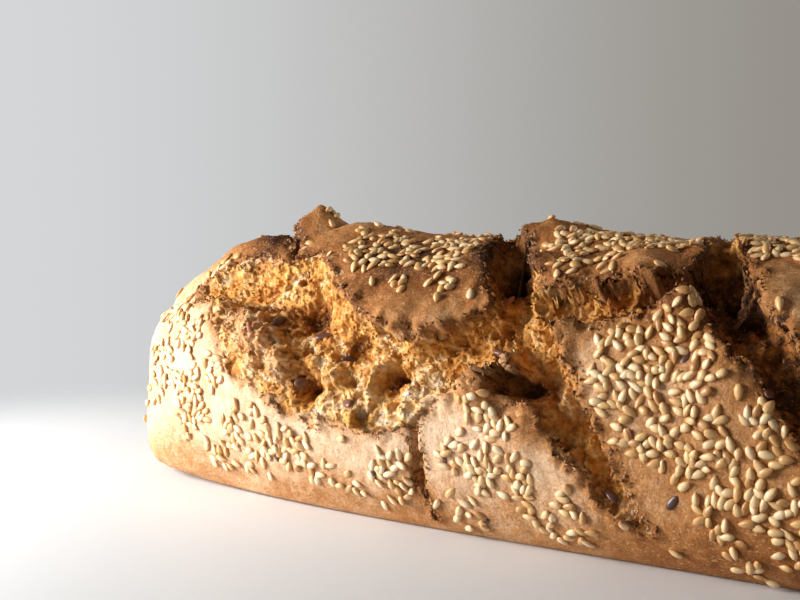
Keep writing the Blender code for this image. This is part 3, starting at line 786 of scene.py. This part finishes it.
def shownFrames(x, w, torn):
    # the same on the crumb where the crust is torn, elsewhere on the crust
    onCrumb, onCrust = surfaceFrames(crumbForm, x, w, 1.6), surfaceFrames(crustForm, x, w, 1.2)
    return [np.where(torn[:, None], inner, outer) for inner, outer in zip(onCrumb, onCrust)]


def turnedFrames(out, side, turn, tiltA, tiltB):
    # three directions of a piece lying on the surface: its length, its width, its thickness
    other = np.cross(out, side)
    length = side * np.cos(turn)[:, None] + other * np.sin(turn)[:, None]
    across = np.cross(out, length)
    length, out = length + out * tiltA[:, None], out - length * tiltA[:, None]
    across, out = across + out * tiltB[:, None], out - across * tiltB[:, None]
    return unit(np.stack([length, across, out], axis=1))


def sesamePlaces(draw):
    # places kept by their density, if they are on the crust and clear of the others
    tries, gap = seeding["tries"], seeding["gap"]
    x = np.interp(draw.random(tries) * planAlong[-1], planAlong, planX)
    w = draw.uniform(-seeding["reach"], seeding["reach"], tries)
    plain = plainLoaf(x, w)[0]
    keep = draw.random(tries) < sesameDensity(plain, x, w)
    keep = keep & (tears(plain, x, w)[2] > seeding["edgeGap"])
    x, w = x[keep], w[keep]
    spots = crustForm(x, w)[0]
    taken = np.zeros(len(x), bool)
    for number in range(len(x)):
        near = np.sum((spots[:number][taken[:number]] - spots[number]) ** 2, axis=1)
        taken[number] = not np.any(near < gap * gap)
    return x[taken], w[taken]


def seedShape(rows, cols, fullness, point):
    # half width along the seed: t^fullness (1 - t)^point, scaled to 1 at its widest
    t = 0.5 - 0.5 * np.cos(np.linspace(0, math.pi, rows + 2))[1:-1]
    widest = fullness / (fullness + point)
    radius = t ** fullness * (1 - t) ** point / (widest ** fullness * (1 - widest) ** point)
    turn = np.linspace(0, 2 * math.pi, cols, endpoint=False)
    ring = np.stack([np.cos(turn), np.sin(turn)], axis=-1) * 0.5
    shape = np.zeros((rows, cols, 3))
    shape[..., 0] = (t - 0.5)[:, None]
    shape[..., 1:] = radius[:, None, None] * ring[None]
    poles = np.array([[-0.5, 0, 0], [0.5, 0, 0]])
    along = np.concatenate([np.repeat(t, cols), [0, 1]])
    return np.concatenate([shape.reshape(-1, 3), poles]), ringFaces(rows, cols), along


def scatter(name, shape, faces, sizes, frames, places, values, material):
    # the same small shape at every place: size, then turned into the frame there
    starts = (np.arange(len(places)) * len(shape))[:, None, None]
    points = np.einsum("nk,mk,nkj->nmj", sizes, shape, frames) + places[:, None]
    lifted = [(part[None] + starts).reshape(-1, part.shape[1]) for part in faces]
    addPiece(name, points.reshape(-1, 3), lifted, values, material)


def makeSesame():
    # seeds that lie a little sunk in the crust, uneven in size, tilt and tint
    draw = np.random.default_rng(seeding["seed"])
    x, w = sesamePlaces(draw)
    places, out, side = surfaceFrames(crustForm, x, w, seeding["slopeStep"])
    count = len(x)
    sizes = np.array(seeding["size"]) * draw.normal(1, seeding["sizeSpread"], (count, 3))
    turn = draw.uniform(0, 2 * math.pi, count)
    tilt, roll = draw.normal(0, seeding["tilt"], count), draw.normal(0, seeding["roll"], count)
    frames = turnedFrames(out, side, turn, tilt, roll)
    rise = seeding["size"][2] * seeding["sunk"] + np.abs(draw.normal(0, seeding["riseSpread"], count))
    places = places + out * rise[:, None]
    shape, faces, along = seedShape(*seeding["shape"])
    tint = draw.beta(*seeding["tints"], count)
    tint = tint + seeding["browner"] * (draw.random(count) > seeding["brownerFrom"])
    # partly real toasting, partly painted shade on the seeds that lie in shade on top
    tint = tint + seeding["toastAndShadeTint"] * smooth(44, 30, w)      # towards the crest
    # painted shade where less of the window's light falls, partly a more golden toast
    tint = tint + seeding["toastAndShadeTint"] * smooth(-16, 10, x) * smooth(30, 44, w)     # right, in front
    crown = np.clip(shape[:, 2] / shape[:, 2].max(), 0, 1)
    values = {
        "tint": np.repeat(np.clip(tint, 0, 1), len(shape)),
        "tip": np.tile(along, count), "crown": np.tile(crown, count),
    }
    print(count, "sesame seeds")
    scatter("sesame", shape, faces, sizes, frames, places, values, sesameMaterial())


linseeds = {
    "size": (5.5, 2.7, 1.3), "sizeSpread": 0.06, "shape": (6, 10, 0.5, 0.66),
    "more": 26, "moreSize": 0.85, "seed": 8, "tilt": 0.12, "roll": 0.15,
    "tornFrom": -0.6, "riseTorn": 0.5, "riseBaked": -0.15,
    # x, w, turn, size of those that show in front
    "shown": [
        (-96, 46, 1.0, 1), (-91.5, 48.5, 1.3, 0.9), (-81, 49.5, 0.2, 1), (-83.5, 63, 0.5, 1),
        (-67, 67.5, 2.9, 1), (-91.5, 84, 1.7, 0.8), (-60, 82, 1.5, 0.8), (-40, 78, 1.2, 0.75),
        (-32, 93, 0.6, 0.8), (-30.5, 51, 2.8, 0.8), (-3, 66.5, 1.4, 1), (14.5, 80, 0.9, 0.75),
        (9, 88, 2.2, 0.7), (15.5, 50, 1.2, 0.7), (-70, 56, 0.6, 0.8), (0, 82, 2.0, 0.8),
    ],
}


def makeLinseeds():
    # those that show in front, and by chance as many in front on the right as on the back
    draw = np.random.default_rng(linseeds["seed"])
    shown = np.array(linseeds["shown"], float)
    half = linseeds["more"] // 2
    x = np.concatenate([shown[:, 0], draw.uniform(20, 140, half), draw.uniform(-140, 140, half)])
    w = np.concatenate([shown[:, 1], draw.uniform(52, 94, half), draw.uniform(-96, -10, half)])
    turn = np.concatenate([shown[:, 2], draw.uniform(0, math.pi, len(x) - len(shown))])
    torn = tears(plainLoaf(x, w)[0], x, w)[2] < linseeds["tornFrom"]
    places, out, side = shownFrames(x, w, torn)
    count = len(x)
    scale = np.concatenate([shown[:, 3], np.full(count - len(shown), linseeds["moreSize"])])[:, None]
    sizes = np.array(linseeds["size"]) * draw.normal(1, linseeds["sizeSpread"], (count, 3)) * scale
    tilt, roll = draw.normal(0, linseeds["tilt"], count), draw.normal(0, linseeds["roll"], count)
    frames = turnedFrames(out, side, turn, tilt, roll)
    places = places + out * np.where(torn, linseeds["riseTorn"], linseeds["riseBaked"])[:, None]
    shape, faces, along = seedShape(*linseeds["shape"])
    values = {"tint": np.repeat(draw.random(count), len(shape))}
    scatter("linseed", shape, faces, sizes, frames, places, values, linseedMaterial())


grains = {
    "seed": 21, "small": 0.3, "large": 0.95, "shape": (1, 3, 0.5, 0.6), "slopeStep": 1.0,
    "reach": (-70, 97), "length": (0.9, 2.1), "width": (0.5, 1.0), "thickness": (0.4, 0.9),
    "tilt": (0.4, 0.6), "roll": (0, 0.5), "toastSpread": 0.10, "toastAlong": 0.2, "toastMost": 0.72,
    "crumb_grains": {"tries": 200000, "most": 32000, "toastMore": 0.03, "skinMore": 0, "scale": 1},
    "rim_grains": {"tries": 120000, "most": 9000, "toastMore": 0.14, "skinMore": 1, "scale": 1.35},
}


def makeGrains(name, form, density, material):
    # small torn bits standing out of a surface: double pyramids of many lengths and widths
    draw = np.random.default_rng(grains["seed"])
    kind = grains[name]
    tries = kind["tries"]
    x = np.interp(draw.random(tries) * planAlong[-1], planAlong, planX)
    w = draw.uniform(*grains["reach"], tries)
    plain = plainLoaf(x, w)[0]
    edge = tears(plain, x, w)[2]
    keep = np.flatnonzero(draw.random(tries) < density(plain, x, w, edge))[:kind["most"]]
    x, w = x[keep], w[keep]
    places, out, side = surfaceFrames(form, x, w, grains["slopeStep"])
    count = len(x)
    size = grains["small"] + (grains["large"] - grains["small"]) * draw.random(count) ** 2
    shares = [draw.uniform(*grains[way], count) for way in ("length", "width", "thickness")]
    sizes = size[:, None] * kind["scale"] * np.stack(shares, axis=-1)
    turn = draw.uniform(0, 2 * math.pi, count)
    tilt, roll = draw.normal(*grains["tilt"], count), draw.normal(*grains["roll"], count)
    frames = turnedFrames(out, side, turn, tilt, roll)
    shape, faces, along = seedShape(*grains["shape"])
    found = crumbForm(x, w)[1]
    # each grain takes the crumb's toast there, its painted shade included
    toast = np.clip(found["toast"] + kind["toastMore"], 0, grains["toastMost"])
    toast = toast + draw.normal(0, grains["toastSpread"], count)
    values = {
        "toast": np.repeat(toast, len(shape)) + np.tile(grains["toastAlong"] * (along - 0.5), count),
        "skin": np.repeat(np.clip(found["skin"] + kind["skinMore"], 0, 1), len(shape)),
    }
    print(count, name)
    scatter(name, shape, faces, sizes, frames, places, values, material)


def crumbDensity(plain, x, w, edge):
    # all over the tears, most of all on the crests that show in front
    crest = smooth(-0.6, 0.8, ridges(plain, 3.4, 51))
    shown = np.where(x < 50, 1, 0.5) * np.where(w > 0, 1, 0.5)
    return smooth(-0.4, -1.2, edge) * (0.35 + 0.65 * crest) * shown


def rimDensity(plain, x, w, edge):
    # along the torn rims of the crust
    return smooth(2.6, 0.2, edge) * smooth(-1.3, -0.4, edge) * 0.8


husks = {
    "thickness": 0.45, "bend": 0.7, "rise": 0.3, "shape": (6, 8, 0.5, 0.6),
    # x, w, turn, length, width, tilt, tint of bran flakes and husks that show
    "shown": [
        (-32, 37, 1.1, 5.4, 1.6, 1.1, 1.0), (5, 67, 1.6, 3.2, 1.8, 0.2, 1.0),
        (-66, 66, 1.4, 4.6, 1.2, 0.9, 0.7), (-71, 56, 1.7, 4.2, 1.0, 1.0, 0.8),
        (-98, 52, 2.2, 3.8, 1.4, 0.5, 0.6), (21, 36, 0.4, 5.0, 2.6, 0.5, 0.8),
        (26, 45, 1.1, 4.0, 2.0, 0.6, 0.9), (64, 58, 0.7, 4.2, 1.6, 0.4, 0.7),
    ],
}


def makeHusks():
    # thin flakes: a seed's outline, flattened and bent by bend * (1/4 - along^2)
    x, w, turn, length, width, tilt, tint = np.array(husks["shown"]).T
    torn = tears(plainLoaf(x, w)[0], x, w)[2] <= 0
    places, out, side = shownFrames(x, w, torn)
    sizes = np.stack([length, width, np.full_like(x, husks["thickness"])], axis=-1)
    frames = turnedFrames(out, side, turn, tilt, 0 * x)
    shape, faces, along = seedShape(*husks["shape"])
    shape[:, 2] += husks["bend"] * (0.25 - shape[:, 0] ** 2)
    places = places + out * husks["rise"]
    values = {"tint": np.repeat(tint, len(shape))}
    scatter("husks", shape, faces, sizes, frames, places, values, huskMaterial())


view = {
    "place": (109.577, -293.939, 82.1), "azimuth": 33, "down": 5.2, "focal": 58.5, "sensor": 36,
}


def makeCamera():
    # looks along the photograph's line: azimuth from +Y towards -X, then down
    turn, down = math.radians(view["azimuth"]), math.radians(view["down"])
    forward = Vector((-math.sin(turn) * math.cos(down), math.cos(turn) * math.cos(down), -math.sin(down)))
    right = Vector((math.cos(turn), math.sin(turn), 0))
    up = right.cross(forward)
    lens = bpy.data.cameras.new("camera")
    lens.lens, lens.sensor_width, lens.clip_start = view["focal"], view["sensor"], 0.01
    camera = linked("camera", lens)
    frameMatrix = Matrix((right, up, -forward)).transposed().to_4x4()
    frameMatrix.translation = (Vector(view["place"]) - Vector(middle)) * mm
    camera.matrix_world = frameMatrix
    bpy.context.scene.camera = camera


studio = {
    "windowPlace": (-0.36, -0.22, 0.12), "windowSize": (0.22, 0.20), "windowPower": 3.3,
    "windowAim": (-0.10, 0.0, 0.03), "backPlace": (0.42, 0.34, 0.20), "backSize": (0.40, 0.30),
    "backPower": 1.5, "backAim": (0.06, 0.0, 0.03), "fill": (0.90, 0.84, 0.77), "fillStrength": 0.14,
    "floor": (0.75, 0.765, 0.785), "floorRadius": 0.6, "floorFade": (0.20, 0.31), "floorSides": 96,
    "paintedLitWall": (0.66, 0.67, 0.68), "paintedShadedWall": (0.30, 0.28, 0.25),
}


def makeLight(name, place, aim, size, power, colour):
    # a glowing rectangle at the place, facing the aim
    lamp = bpy.data.lights.new(name, "AREA")
    lamp.shape, lamp.size, lamp.size_y = "RECTANGLE", size[0], size[1]
    lamp.energy, lamp.color = power, colour
    light = linked(name, lamp)
    light.location = place
    light.rotation_euler = (Vector(aim) - Vector(place)).to_track_quat("-Z", "Y").to_euler()


def makeStudio():
    # pale floor, a soft window on the left, an even pale sky, and painted light on the backdrop
    radius, sides = studio["floorRadius"], studio["floorSides"]
    turn = np.linspace(0, 2 * math.pi, sides, endpoint=False)
    ring = np.stack([radius * np.cos(turn), radius * np.sin(turn), 0 * turn], axis=-1)
    mesh = bpy.data.meshes.new("floor")
    mesh.from_pydata(ring.tolist(), [], [list(range(sides))])
    material, shader, wire = newMaterial("pale floor", 0.55, 0.3)
    shader.inputs["Base Color"].default_value = (*studio["floor"], 1)
    away = wire.node("ShaderNodeVectorMath", {"operation": "LENGTH"}, {0: wire.place()}, output="Value")
    faded = 1 - away.between(*studio["floorFade"])
    wire.tree.links.new(faded.socket, shader.inputs["Alpha"])
    mesh.materials.append(material)
    linked("floor", mesh)
    for name, colour in (("window", (1.0, 0.99, 0.97)), ("back", (1.0, 0.97, 0.93))):
        place, aim, size, power = [studio[name + part] for part in ("Place", "Aim", "Size", "Power")]
        makeLight(name, place, aim, size, power, colour)
    world = bpy.data.worlds.new("pale studio")
    world.use_nodes = True
    wire = Wire(world.node_tree)
    turn = math.radians(view["azimuth"])
    side = wire.node("ShaderNodeVectorMath", {"operation": "DOT_PRODUCT"}, {
        0: wire.node("ShaderNodeTexCoord", output="Generated"), 1: (math.cos(turn), math.sin(turn), 0),
    }, output="Value")
    # painted light and shade: the backdrop the camera sees goes from lit on the left to shaded on the right,
    # as if the window's light fell off
    wall = wire.mixed(side.between(-0.30, 0.34), (*studio["paintedLitWall"], 1), (*studio["paintedShadedWall"], 1))
    seen = wire.node("ShaderNodeLightPath", output="Is Camera Ray")
    background = world.node_tree.nodes["Background"]
    colour = wire.mixed(seen, (*[c * studio["fillStrength"] for c in studio["fill"]], 1), wall)
    wire.tree.links.new(colour.socket, background.inputs["Color"])
    bpy.context.scene.world = world
    bpy.context.scene.view_settings.view_transform = "Standard"


makeCamera()
makeStudio()
print("camera and light")
makeCrust()
crumbLook = crumbMaterial()
makeCrumb(crumbLook)
print("crust and crumb")
makeGrains("crumb_grains", crumbForm, crumbDensity, crumbLook)
makeGrains("rim_grains", crustForm, rimDensity, crumbLook)
makeSesame()
makeLinseeds()
makeHusks()
print("seeds and grains")
